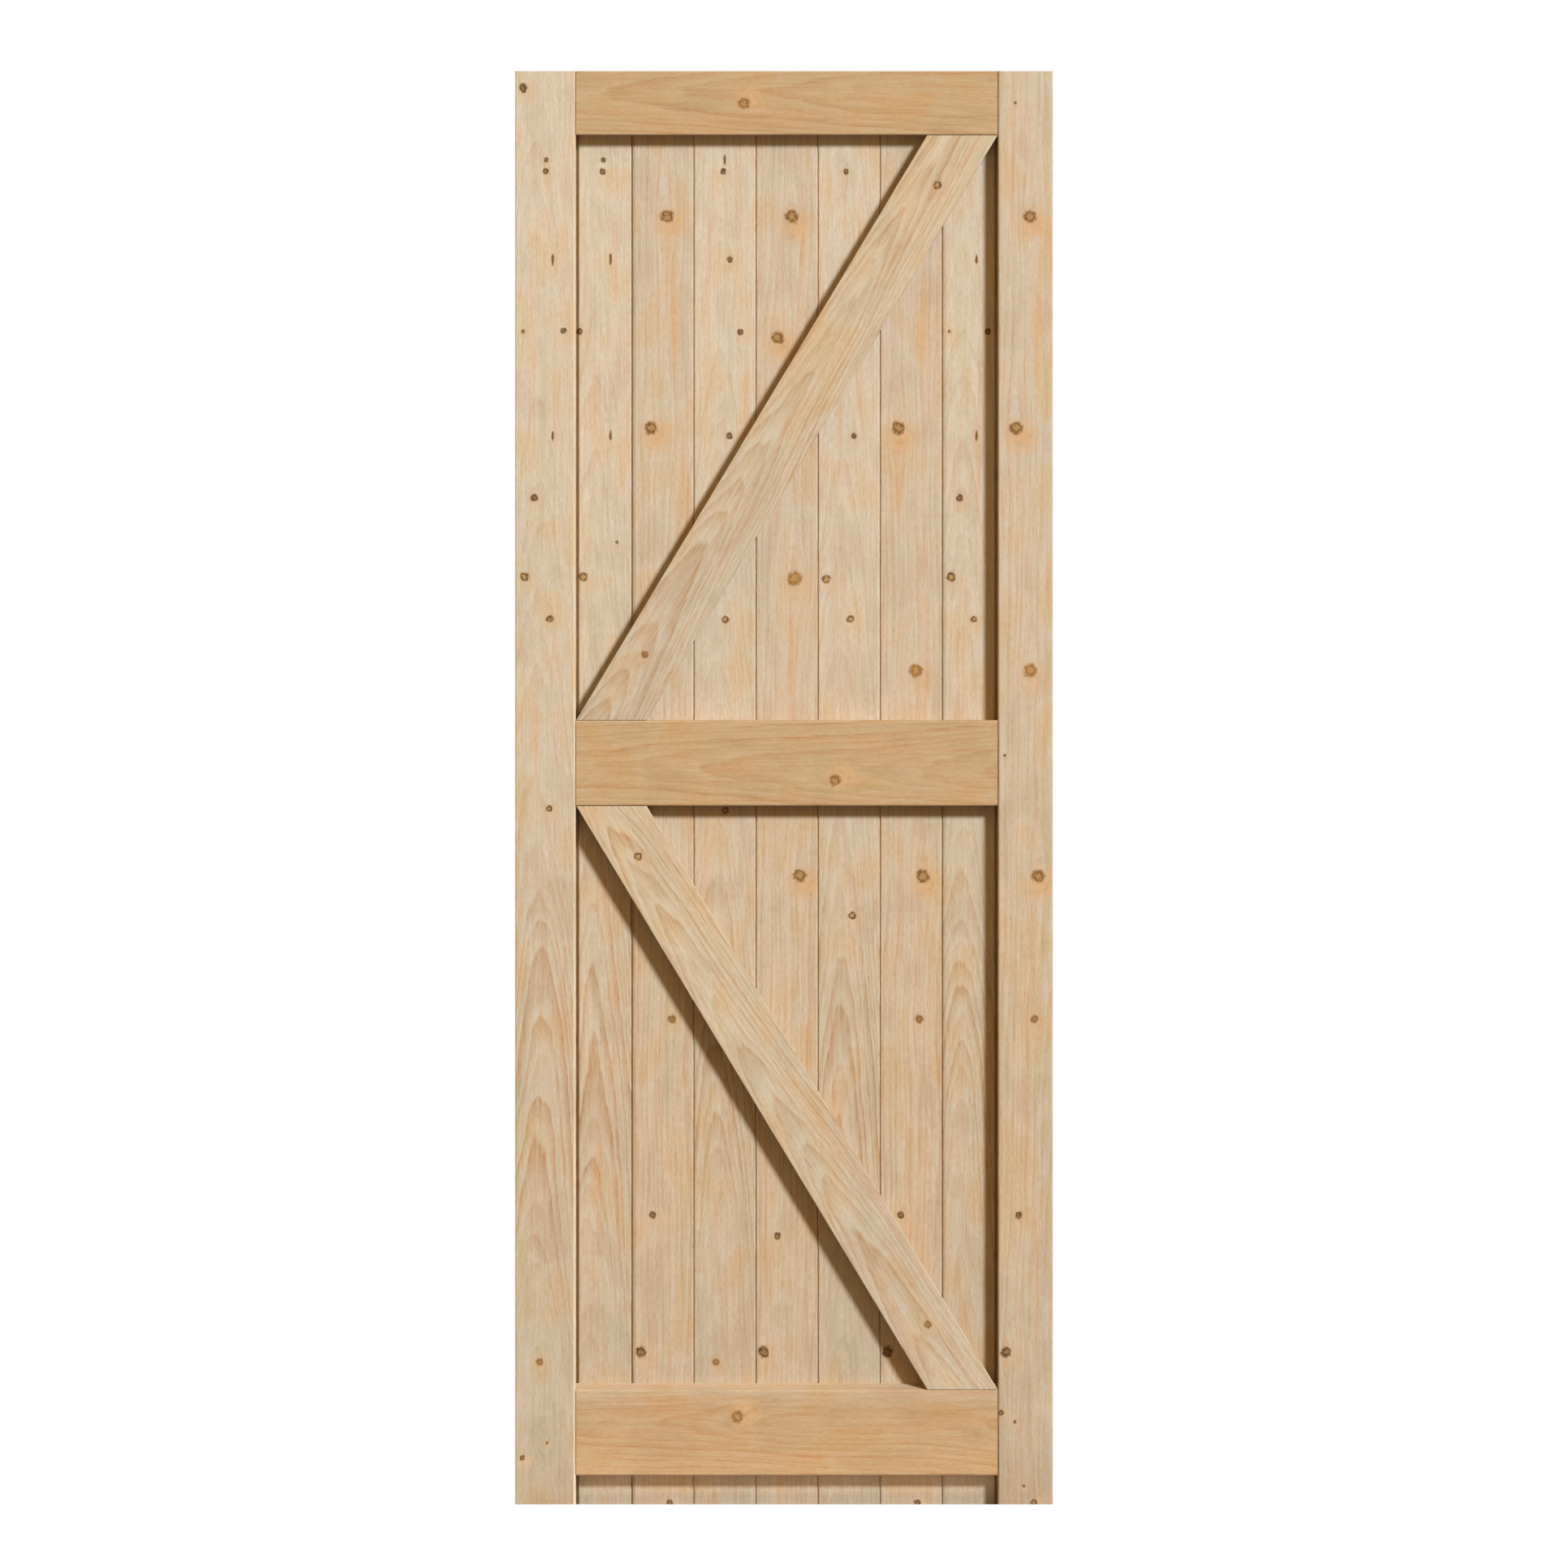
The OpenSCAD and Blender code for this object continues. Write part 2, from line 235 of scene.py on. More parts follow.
knot, given = group(
    "knot",
    {"Grain": "Vector", "Place": "Vector", "Shape": "Vector", "Radius": "Float", "Kind": "Vector",
     "Nearest so far": "Float", "Offset so far": "Vector", "Kind so far": "Vector",
     "Push so far": "Float"},
    {"Nearest": "Float", "Offset": "Vector", "Kind": "Vector", "Push": "Float"},
)
offset = add(knot, "ShaderNodeVectorMath", {0: given["Grain"], 1: given["Place"]}, operation="SUBTRACT")
shaped = add(knot, "ShaderNodeVectorMath", {0: offset, 1: given["Shape"]}, operation="MULTIPLY")
in_radii = add(knot, "ShaderNodeVectorMath", {0: shaped, 1: given["Radius"]}, operation="DIVIDE")
radii = add(knot, "ShaderNodeVectorMath", {0: in_radii}, operation="LENGTH")
closer = add(knot, "ShaderNodeMath", {0: radii, 1: given["Nearest so far"]}, operation="LESS_THAN")
nearest = add(knot, "ShaderNodeMath", {0: radii, 1: given["Nearest so far"]}, operation="MINIMUM")
kind = add(knot, "ShaderNodeMix", {
    "Factor": closer, "A": given["Kind so far"], "B": given["Kind"]}, data_type="VECTOR")
nearest_offset = add(knot, "ShaderNodeMix", {
    "Factor": closer, "A": given["Offset so far"], "B": in_radii}, data_type="VECTOR")
print("the nearest knot is found by", len(knot.nodes), "nodes")

# %% [markdown]
# ## Fibres round a knot
#
# Fibres part before a knot and close again behind it. So each point is pushed sideways, away from the
# knot's middle line, by a length that dies away like a bell curve. The push is taken off the
# coordinates before the rings are drawn, which bends lines and fibres together.

# %% Parting the fibres
BOW_LENGTH = 0.4  # the fibres close again over a longer way along the grain than across it
BOW_REACH = 0.16  # how fast they close, over the knot's radius squared
BOW = 1.3         # how far they part, in radii

long_way = add(knot, "ShaderNodeVectorMath", {0: offset, 1: (1, 0, BOW_LENGTH)}, operation="MULTIPLY")
reach = add(knot, "ShaderNodeVectorMath", {0: long_way}, operation="LENGTH")
reach_radii = add(knot, "ShaderNodeMath", {0: reach, 1: given["Radius"]}, operation="DIVIDE")
squared = add(knot, "ShaderNodeMath", {0: reach_radii, 1: reach_radii}, operation="MULTIPLY")
fading = add(knot, "ShaderNodeMath", {0: squared, 1: -BOW_REACH}, operation="MULTIPLY")
fade = add(knot, "ShaderNodeMath", {0: fading}, operation="EXPONENT")
side = add(knot, "ShaderNodeSeparateXYZ", {"Vector": offset}).outputs["X"]
far_side = add(knot, "ShaderNodeMath", {0: side}, operation="ABSOLUTE")
softened = add(knot, "ShaderNodeMath", {0: far_side, 1: given["Radius"]}, operation="ADD")
lean = add(knot, "ShaderNodeMath", {0: side, 1: softened}, operation="DIVIDE")
heart = add(knot, "ShaderNodeSeparateXYZ", {"Vector": given["Kind"]}).outputs["Z"]
solid = add(knot, "ShaderNodeMath", {0: heart, 1: NO_KNOT / 2}, operation="GREATER_THAN")
blocked = add(knot, "ShaderNodeMath", {0: given["Radius"], 1: solid}, operation="MULTIPLY")
parted = add(knot, "ShaderNodeMath", {0: blocked, 1: BOW}, operation="MULTIPLY")
leaning = add(knot, "ShaderNodeMath", {0: lean, 1: parted}, operation="MULTIPLY")
push = add(knot, "ShaderNodeMath", {
    0: leaning, 1: fade, 2: given["Push so far"]}, operation="MULTIPLY_ADD")
add(knot, "NodeGroupOutput", {
    "Nearest": nearest, "Offset": nearest_offset, "Kind": kind, "Push": push})
print("knot:", len(knot.nodes), "nodes")

# %% [markdown]
# ## Where the knots are
#
# Each entry is a knot's distance from the leaf's middle line, its height above the foot, its
# radius, all in millimetres, and its kind. A kind says how dark the knot's rim is, how strong its
# halo, how dark its heart, and how much longer it is along the grain. A tight knot is a dark ring
# with a pale heart, a soft, an amber or a sound one has hardly any ring, a spike is a branch cut
# lengthwise, and a streak is resin that ran along the grain with no knot in it.

# %% The knots of every piece
KINDS = {
    "dead": (0.85, 0.35, 0.65, 1.1),
    "tight": (0.78, 0.4, 0.0, 1.0),
    "live": (0.55, 1.0, 0.2, 1.0),
    "soft": (0.4, 0.4, 0.5, 1.0),
    "amber": (0.2, 0.6, 0.1, 1.0),
    "sound": (0.36, 0.8, 0.16, 1.0),
    "spike": (0.7, 0.3, 0.8, 4.0),
    "streak": (0.0, 0.8, NO_KNOT, 9.0),
}
KNOTS = {
    "left_stile": [
        (-370, 2008, 5.5, "dead"), (-337, 1906, 3, "dead"), (-338, 1890, 4, "dead"),
        (-328, 1765, 1.8, "spike"), (-370, 1663, 2.5, "dead"), (-313, 1664, 4, "dead"),
        (-328, 1515, 1.6, "spike"), (-354, 1427, 4.5, "dead"), (-368, 1315, 6, "tight"),
        (-332, 1255, 5, "tight"), (-333, 987, 4.5, "tight"), (-346, 202, 5, "soft"),
        (-336, 87, 2, "dead"), (-371, 66, 3.5, "dead"),
    ],
    "right_stile": [
        (328, 1987, 2, "dead"), (349, 1826, 8.5, "live"), (358, 1710, 3, "streak"),
        (329, 1526, 8.5, "live"), (349, 1182, 8.6, "amber"), (313, 1062, 2, "dead"),
        (360, 891, 8.5, "live"), (355, 688, 5.5, "soft"), (333, 410, 4.5, "dead"),
        (315, 216, 6.8, "dead"), (308, 130, 3.5, "dead"), (327, 117, 2, "dead"),
        (340, 26, 2, "dead"), (354, 2, 4.5, "dead"),
    ],
    "top_rail": [(-57, 1986, 7.5, "sound")],
    "middle_rail": [(72, 1027, 7.5, "sound")],
    "bottom_rail": [(-66, 124, 7.5, "sound")],
    "upper_brace": [(217, 1870, 5.5, "tight"), (-197, 1205, 5, "soft")],
    "lower_brace": [(-207, 919, 5.5, "tight"), (204, 255, 5, "soft")],
    "board_1": [
        (-256, 1906, 3, "dead"), (-257, 1890, 4, "dead"), (-246, 1765, 1.8, "spike"),
        (-290, 1663, 4, "dead"), (-246, 1515, 1.6, "spike"), (-237, 1364, 2, "dead"),
        (-285, 1315, 6, "tight"),
    ],
    "board_2": [
        (-166, 1826, 8.5, "live"), (-157, 1710, 3, "streak"), (-189, 1526, 8.5, "live"),
        (-159, 688, 5.5, "soft"), (-186, 410, 4.5, "dead"), (-203, 216, 6.8, "dead"),
        (-162, 2, 4.5, "dead"),
    ],
    "board_3": [
        (-84, 1906, 1.7, "spike"), (-86, 1890, 4, "dead"), (-77, 1765, 4, "dead"), (-62, 1662, 4, "dead"),
        (-77, 1515, 4, "dead"), (-83, 1255, 5, "tight"), (-83, 984, 4.5, "tight"), (-96, 202, 5, "soft"),
    ],
    "board_4": [
        (11, 1826, 8.5, "live"), (-9, 1654, 8.5, "live"), (15, 1312, 9.5, "amber"),
        (22, 891, 8.5, "live"), (-9, 380, 4.5, "dead"), (-29, 216, 6.8, "dead"),
    ],
    "board_5": [
        (88, 1890, 3.5, "dead"), (99, 1515, 3.5, "dead"), (60, 1312, 6, "tight"),
        (94, 1255, 5, "tight"), (97, 835, 5, "tight"),
    ],
    "board_6": [
        (194, 1710, 3, "streak"), (162, 1526, 8.5, "live"), (187, 1182, 8.6, "amber"),
        (197, 891, 8.5, "live"), (192, 688, 5.5, "soft"), (166, 410, 4.5, "dead"),
        (147, 216, 6.8, "dead"), (189, 2, 4.5, "dead"),
    ],
    "board_7": [
        (273, 1765, 1.7, "spike"), (234, 1663, 2, "dead"), (289, 1663, 4, "dead"),
        (273, 1515, 1.7, "spike"), (249, 1427, 4.5, "dead"), (237, 1315, 6, "tight"),
        (269, 1255, 4.5, "tight"),
    ],
}
print("knots placed:", sum(len(found) for found in KNOTS.values()))

# %% [markdown]
# ## Coordinates along the grain
#
# Each piece has its own grain direction: up the boards, along the rails, aslant in the braces. A
# Mapping node on the piece's Object coordinates centres them on the piece, turns them so that Z
# runs along its grain, and makes them millimetres. The knots are then chained in those coordinates.

# %% Grain coordinates and the chain of knots
MM = 1000.0
FAR_AWAY = 99.0  # radii to the nearest knot where there is none


def grain_of(tree, piece, turn, coordinates):
    """Coordinates in mm from the piece's middle, turned about Y so that Z runs along its grain.

    Returns the node, and the function that takes a point of the leaf in mm to the same place."""
    low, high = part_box(piece)
    middle = MM * (low + high) / 2
    turned = Euler((0, turn, 0)).to_matrix()
    node = add(tree, "ShaderNodeMapping", {
        "Vector": coordinates.outputs["Object"], "Location": -(turned @ middle),
        "Rotation": (0, turn, 0), "Scale": (MM, MM, MM)})
    return node, lambda x, z: turned @ (Vector((x, middle.y, z)) - middle)


def knots_of(tree, piece, grain, place_of):
    """Chains one knot group for each knot of the piece and returns the last one's outputs."""
    chained = {"Nearest": FAR_AWAY, "Offset": (FAR_AWAY, 0, 0), "Kind": (0, 0, NO_KNOT), "Push": 0.0}
    for x, z, size, kind in KNOTS[piece]:
        rim, halo, heart, stretch = KINDS[kind]
        chained = add(tree, "ShaderNodeGroup", {
            "Grain": grain, "Place": place_of(x, z), "Shape": (1, 0, 1 / stretch), "Radius": size,
            "Kind": (rim, halo, heart), "Nearest so far": chained["Nearest"],
            "Offset so far": chained["Offset"], "Kind so far": chained["Kind"],
            "Push so far": chained["Push"]}, node_tree=knot).outputs
    return chained


print("pieces with knots:", len(KNOTS))

# %% [markdown]
# ## First layer: spring wood and latewood
#
# Pine that was planed and left bare is pale straw with orange latewood lines. The planer leaves
# those lines frayed, because fibres break out of them, so short dashes of noise thin them here and
# there. On the uprights the figure is liveliest in the lower middle and calm at both ends, and the
# colour grows paler towards the top.

# %% Spring wood and latewood
DASH_WIDTH = 2.6            # the short stretches into which fibres break a line, in mm
DASH_LENGTH = 34.0
DASH_LEFT = 0.45            # how much of a line is left where it is broken
DASH_SEED = 12.0            # each noise on a piece has a seed of its own
BROKEN, WHOLE = 0.35, 0.65  # the noise at which a line is broken most, and not at all
LIVELY_AT = 0.29            # where the figure is strongest, as a share of the height
LIVELY_REACH = 0.23         # how far from there it fades


def figured(tree, grain, flowing, half_length, seed, heart, wood):
    """The colour of the rings, and how strong their lines are.

    The mix of spring wood and latewood is the latewood, times the dashes, times the figure, which
    goes from its lively value to its calm one with the distance from the lively height."""
    latewood = add(tree, "ShaderNodeGroup", {
        "Grain": flowing, "Seed": seed, "Heart": (*heart, 0), "Taper": wood["taper"],
        "Ring": wood["ring"]}, node_tree=rings)
    dashes = streaks(tree, flowing, DASH_WIDTH, DASH_LENGTH, seed + DASH_SEED, 1.0)
    broken = add(tree, "ShaderNodeMapRange", {
        "Value": dashes, "From Min": BROKEN, "From Max": WHOLE, "To Min": DASH_LEFT})
    along = add(tree, "ShaderNodeSeparateXYZ", {"Vector": grain}).outputs["Z"]
    share = add(tree, "ShaderNodeMapRange", {
        "Value": along, "From Min": -half_length, "From Max": half_length})
    height = add(tree, "ShaderNodeMapRange", {"Value": share}, interpolation_type="SMOOTHSTEP")
    off = add(tree, "ShaderNodeMath", {0: share, 1: LIVELY_AT}, operation="SUBTRACT")
    off_by = add(tree, "ShaderNodeMath", {0: off}, operation="ABSOLUTE")
    contrast = add(tree, "ShaderNodeMapRange", {
        "Value": off_by, "From Max": LIVELY_REACH, "To Min": wood["figure"][0],
        "To Max": wood["figure"][1]},
        interpolation_type="SMOOTHSTEP")
    frayed = add(tree, "ShaderNodeMath", {0: latewood, 1: broken}, operation="MULTIPLY")
    lines = add(tree, "ShaderNodeMath", {0: frayed, 1: contrast}, operation="MULTIPLY")
    foot, top = wood["spring"]
    spring = add(tree, "ShaderNodeMix", {
        "Factor": height, "A": linear(foot), "B": linear(top)}, data_type="RGBA")
    colour = add(tree, "ShaderNodeMix", {
        "Factor": lines, "A": spring, "B": linear(wood["late"])}, data_type="RGBA")
    return colour, lines


print("lines break every", DASH_LENGTH, "mm or so")

# %% [markdown]
# ## Second layer: edges and ends
#
# The narrow sides of every piece are painted darker than its faces. That is painted shade: it deepens
# the gaps inside the frame, damps the light that the sides throw onto the boards and dims the outer part
# of each arris. Cut ends drink in the light and go darker still. The direction that a face looks in
# tells the one from the other. Other marks depend on the place instead: damp greys the lower part of
# the uprights, their feet are painted darker as painted shade, and the inner arris of the left stile
# is painted pale as a painted highlight.

# %% Edges and ends
END_GRAIN = "#d9c4a6"
FACE_TO_SIDE = (0.7, 0.3)    # how far a direction points through the leaf, on a face and on a side
LENGTH_TO_END = (0.6, 0.95)  # how far it points along the grain, on a slope and on a cut end


def worked(tree, coordinates, turn, colour, sides, wear_and_painted_light):
    """The colour after the saw, the plane and years of use, and the light and shade painted on it.

    Each kind of wear or painted light says along which axis it goes, at how many m it starts to show
    and at how many it shows in full, how it blends with the wood, and its colour."""
    looks = add(tree, "ShaderNodeSeparateXYZ", {"Vector": coordinates.outputs["Normal"]})
    through = add(tree, "ShaderNodeMath", {0: looks.outputs["Y"]}, operation="ABSOLUTE")
    turned = add(tree, "ShaderNodeMapping", {
        "Vector": coordinates.outputs["Normal"], "Rotation": (0, turn, 0)}, vector_type="VECTOR")
    lengthwise = add(tree, "ShaderNodeSeparateXYZ", {"Vector": turned}).outputs["Z"]
    either_end = add(tree, "ShaderNodeMath", {0: lengthwise}, operation="ABSOLUTE")
    place = add(tree, "ShaderNodeSeparateXYZ", {"Vector": coordinates.outputs["Object"]}).outputs
    steps = [
        # painted shade: the narrow sides are darkened, to deepen the gaps and dim the light that they
        # throw
        (through, *FACE_TO_SIDE, "MULTIPLY", sides),
        (either_end, *LENGTH_TO_END, "MULTIPLY", END_GRAIN),
    ]
    steps += [(place[axis], *how) for axis, *how in wear_and_painted_light]
    for value, start, end, blend, code in steps:
        factor = add(tree, "ShaderNodeMapRange", {
            "Value": value, "From Min": start, "From Max": end})
        colour = add(tree, "ShaderNodeMix", {
            "Factor": factor, "A": colour, "B": linear(code)}, data_type="RGBA", blend_type=blend)
    return colour


print("end grain is darkened by", END_GRAIN)

# %% [markdown]
# ## Third layer: tints and fibres
#
# No strip of a board dries to quite the same colour. Some turn yellow, some pink, and in broad
# patches the wood is greyer or warmer. Short flecks are left where the plane lifted the fibres.
# Single fibres are far too fine to see from a few steps away, so they are drawn as bundles, some
# millimetres wide. Each tint multiplies what lies below.

# %% Tints and fibres
TINT_SEED = 3.0  # keeps the noise of one tint apart from the next
TINTS = (        # width and length of a patch in mm, detail, and its colours from low to high
    (42.0, 80.0, 1.0, [(0.36, "#f8f5f2"), (0.5, "#ffffff"), (0.64, "#fff6e8")]),
    (15.0, 260.0, 2.0, [(0.3, "#f6f4e9"), (0.45, "#fdfbf4"), (0.58, "#fff8f0"), (0.72, "#ffeede")]),
    (2.0, 9.0, 0.0, [(0.3, "#f7f2ea"), (0.5, "#fcfaf6"), (0.7, "#ffffff")]),
    (3.6, 85.0, 3.0, [(0.28, "#f3ebdd"), (0.52, "#fbf8f3"), (0.7, "#ffffff")]),
)


def tinted(tree, flowing, seed, colour, share):
    """The colour under patches, strips and fibres, and the fibres' own noise.

    Each tint is a noise turned to colours, and multiplies the wood by a share from 0 to 1."""
    for number, (width, length, detail, stops) in enumerate(TINTS):
        noise = streaks(tree, flowing, width, length, seed + TINT_SEED * number, detail)
        ramp = add(tree, "ShaderNodeValToRGB", {"Fac": noise}, stops=stops)
        colour = add(tree, "ShaderNodeMix", {
            "Factor": share, "A": colour, "B": ramp}, data_type="RGBA", blend_type="MULTIPLY")
    return colour, noise


print("tints:", len(TINTS))

# %% [markdown]
# ## Fourth layer: resin
#
# Resin seeps from a living branch in blotches of yellow and pink, so the halo round a knot is a mix of
# both by noise. It ran along the grain before the tree was felled, so the halo is strongest a little
# to one side of the knot and fades over some radii from there.

# %% Halos of resin
BLOTCH, BLOTCH_SEED = 8.0, 15.0   # resin spots in a halo, in mm
RESIN_RUN = (0.8, 0, -1.4)        # where a halo is strongest, in radii from the knot's middle
HALO_CORE, HALO_REACH = 0.8, 3.8  # where it starts to fade and where it ends, in radii from there
HALO = 0.95                       # how much of the wood's own colour the strongest halo hides
DRY, SOAKED = 0.38, 0.6           # the noise at which a spot holds least resin, and most
LEAST_RESIN = 0.55                # the least, as a share of the most
RESIN = [(0.38, "#d99b59"), (0.5, "#e4b377"), (0.62, "#e7b07c")]


def haloed(tree, grain, chained, seed, colour):
    """The colour with resin round each knot.

    The stain is the halo's fading with the distance, times the spots, times the halo of the kind."""
    spots = streaks(tree, grain, BLOTCH, BLOTCH, seed + BLOTCH_SEED, 2.0)
    from_run = add(tree, "ShaderNodeVectorMath", {
        0: chained["Offset"], 1: RESIN_RUN}, operation="DISTANCE")
    spread = add(tree, "ShaderNodeMapRange", {
        "Value": from_run, "From Min": HALO_CORE, "From Max": HALO_REACH,
        "To Min": HALO, "To Max": 0.0})
    soaked = add(tree, "ShaderNodeMapRange", {
        "Value": spots, "From Min": DRY, "From Max": SOAKED, "To Min": LEAST_RESIN})
    spotty = add(tree, "ShaderNodeMath", {0: spread, 1: soaked}, operation="MULTIPLY")
    halo = add(tree, "ShaderNodeSeparateXYZ", {"Vector": chained["Kind"]}).outputs["Y"]
    stain = add(tree, "ShaderNodeMath", {0: spotty, 1: halo}, operation="MULTIPLY")
    resin = add(tree, "ShaderNodeValToRGB", {"Fac": spots}, stops=RESIN)
    return add(tree, "ShaderNodeMix", {"Factor": stain, "A": colour, "B": resin}, data_type="RGBA")


print("halos reach", HALO_REACH, "radii")

# %% [markdown]
# ## Fifth layer: knots
#
# A knot has no clean outline: a noise strays its edge, and a finer one breaks the dark bark at its rim
# into patches. Towards the middle, bark gives way to the branch's own heartwood, which is pale in a
# tight knot and dark in a dead one.

# %% Bark and heartwood of the knots
MOTTLE, MOTTLE_SEED = 5.0, 18.0   # unevenness of a knot's edge, in mm
SPECK, SPECK_SEED = 3.0, 21.0     # patches of bark inside it, in mm
NOISE_LOW, NOISE_HIGH = 0.3, 0.7  # nearly all of a noise lies between these
RAGGED = 0.25                     # how far the edge strays, in radii
KNOT_EDGE = (0.7, 1.4)            # where a knot starts to merge and where it ends, in radii
BARK_FROM = (0.1, 0.8)            # where bark starts to take over and where it has, in radii
BARK_ADDS = (-0.25, 0.3)          # what that adds to the noise of the patches there
BARK_SHOWS = (0.42, 0.75)         # the sum at which bark starts to show, and shows in full
PALE_HEART, DARK_HEART = "#c6985c", "#71573a"
PALE_BARK, DARK_BARK = "#b87a36", "#432a10"


def knotted(tree, grain, chained, seed, colour):
    """The colour with the knots themselves.

    Bark covers the heartwood where the distance from the knot's middle and the noise of the patches
    add up to enough, and both end at the strayed edge."""
    mottles = streaks(tree, grain, MOTTLE, MOTTLE, seed + MOTTLE_SEED, 2.0)
    specks = streaks(tree, grain, SPECK, SPECK, seed + SPECK_SEED, 1.0)
    kind = add(tree, "ShaderNodeSeparateXYZ", {"Vector": chained["Kind"]}).outputs
    strayed = add(tree, "ShaderNodeMapRange", {
        "Value": mottles, "From Min": NOISE_LOW, "From Max": NOISE_HIGH,
        "To Min": -RAGGED, "To Max": RAGGED})
    edge = add(tree, "ShaderNodeMath", {0: chained["Nearest"], 1: strayed}, operation="ADD")
    heartwood = add(tree, "ShaderNodeMix", {
        "Factor": kind["Z"], "A": linear(PALE_HEART), "B": linear(DARK_HEART)}, data_type="RGBA")
    bark = add(tree, "ShaderNodeMix", {
        "Factor": kind["X"], "A": linear(PALE_BARK), "B": linear(DARK_BARK)}, data_type="RGBA")
    outer = add(tree, "ShaderNodeMapRange", {
        "Value": edge, "From Min": BARK_FROM[0], "From Max": BARK_FROM[1],
        "To Min": BARK_ADDS[0], "To Max": BARK_ADDS[1]})
    patchy = add(tree, "ShaderNodeMath", {0: specks, 1: outer}, operation="ADD")
    crust = add(tree, "ShaderNodeMapRange", {
        "Value": patchy, "From Min": BARK_SHOWS[0], "From Max": BARK_SHOWS[1]},
        interpolation_type="SMOOTHSTEP")
    stub = add(tree, "ShaderNodeMix", {"Factor": crust, "A": heartwood, "B": bark}, data_type="RGBA")
    within = add(tree, "ShaderNodeMapRange", {
        "Value": edge, "From Min": KNOT_EDGE[0], "From Max": KNOT_EDGE[1],
        "To Min": 1.0, "To Max": 0.0}, interpolation_type="SMOOTHSTEP")
    solid = add(tree, "ShaderNodeMath", {0: kind["Z"], 1: NO_KNOT / 2}, operation="GREATER_THAN")
    inside = add(tree, "ShaderNodeMath", {0: within, 1: solid}, operation="MULTIPLY")
    return add(tree, "ShaderNodeMix", {"Factor": inside, "A": colour, "B": stub}, data_type="RGBA")


print("knots merge with the wood over", round(KNOT_EDGE[1] - KNOT_EDGE[0], 2), "radii")

# %% [markdown]
# ## Planed pine
#
# Now the layers go one over the other. The fibres and the hard latewood also stand a little proud
# after planing, and that small relief breaks up the sheen. Bare pine has no varnish, so it is dull:
# its index of refraction is that of cellulose, about 1.5, its open pores swallow most of what it
# reflects, and its roughness is high, a little less on the dense latewood.

# %% Planed pine as a function
RELIEF = 0.00025               # how far fibres and latewood stand up, in m, drawn high enough to show
PLANED_BUMP = 0.6              # how much of that relief the plane left
PINE_ROUGHNESS = (0.66, 0.54)  # between the latewood lines, and on them
CELLULOSE_IOR = 1.5
PORE_SPECULAR = 0.2


def planed_pine(piece, seed, turn, heart, wood, *wear_and_painted_light):
    """Bare planed pine on one piece, turned so that its grain runs along the piece.

    heart is where the trunk's heart lay, across and behind the piece's middle, in mm. wood is the
    timber, and the rest says what damp did to parts of it and where light and shade are painted on it."""
    material, tree = blank("planed_pine_" + piece)
    coordinates = add(tree, "ShaderNodeTexCoord")
    grain, place_of = grain_of(tree, piece, turn, coordinates)
    chained = knots_of(tree, piece, grain, place_of)
    aside = add(tree, "ShaderNodeCombineXYZ", {"X": chained["Push"]})
    flowing = add(tree, "ShaderNodeVectorMath", {0: grain, 1: aside}, operation="SUBTRACT")
    low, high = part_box(piece)
    half_length = MM * max(high - low) / 2

    colour, lines = figured(tree, grain, flowing, half_length, seed, heart, wood)
    colour = worked(tree, coordinates, turn, colour, wood["sides"], wear_and_painted_light)
    colour, fibres = tinted(tree, flowing, seed, colour, wood["tints"])
    colour = haloed(tree, grain, chained, seed, colour)
    colour = knotted(tree, grain, chained, seed, colour)

    raised = add(tree, "ShaderNodeMath", {0: lines, 1: fibres}, operation="ADD")
    bump = add(tree, "ShaderNodeBump", {"Height": raised, "Strength": PLANED_BUMP, "Distance": RELIEF})
    roughness = add(tree, "ShaderNodeMapRange", {
        "Value": lines, "To Min": PINE_ROUGHNESS[0], "To Max": PINE_ROUGHNESS[1]})
    shader = add(tree, "ShaderNodeBsdfPrincipled", {
        "Base Color": colour, "Roughness": roughness, "Normal": bump, "IOR": CELLULOSE_IOR,
        "Specular IOR Level": PORE_SPECULAR})
    add(tree, "ShaderNodeOutputMaterial", {"Surface": shader})
    dress([piece], material)
    print(piece, "finished with", len(tree.nodes), "nodes")


print("fibres stand", RELIEF * MM, "mm proud")

# %% [markdown]
# ## Stiles
#
# The stiles are the full-height uprights. The left one was sawn flat, close to the heart, so flames
# stand one above the other in its lower half, and the upper half is calmer and paler. The right one
# was sawn further out, from a straighter stretch of trunk, so its lines run nearly straight. Damp
# greys the lower part of both, and their feet are painted darker still, which is painted shade. The
# inner arris of the left one is painted pale, which is a painted highlight, and its side behind that
# arris is painted darker, which is painted shade.
#
# A timber is a few values: how fast its trunk tapers, the width of a ring in millimetres, how strong
# the lines are where they are liveliest and calmest, the spring wood at the foot and at the top,
# the latewood, how much of the tints it takes, and the painted shade on its narrow sides.

# %% Stiles
UPRIGHT = 0.0
FLAT_SAWN = {
    "taper": 0.075,
    "ring": 4.6,
    "figure": (0.8, 0.25),
    "spring": ("#dfccb2", "#eedfca"),
    "late": "#bd8039",
    "tints": 1.0,
    "sides": "#d2cec8",
}
STRAIGHT = {
    "taper": 0.012,
    "ring": 6.5,
    "figure": (0.6, 0.4),
    "spring": ("#e3ceb3", "#e8d7c1"),
    "late": "#c8975f",
    "tints": 1.0,
    "sides": "#d2cec8",
}
STRAIGHT_HEART = (55, 30)
DAMP_TINT = "#f5f7fb"
RISING_DAMP = ("Z", 0.42, 0.16, "MULTIPLY", DAMP_TINT)
# painted shade: the feet of the stiles are painted darker, against the light that the pale floor throws
# up
PAINTED_SHADE_STILE_FEET = ("Z", 0.13, 0.0, "MULTIPLY", "#dedad8")
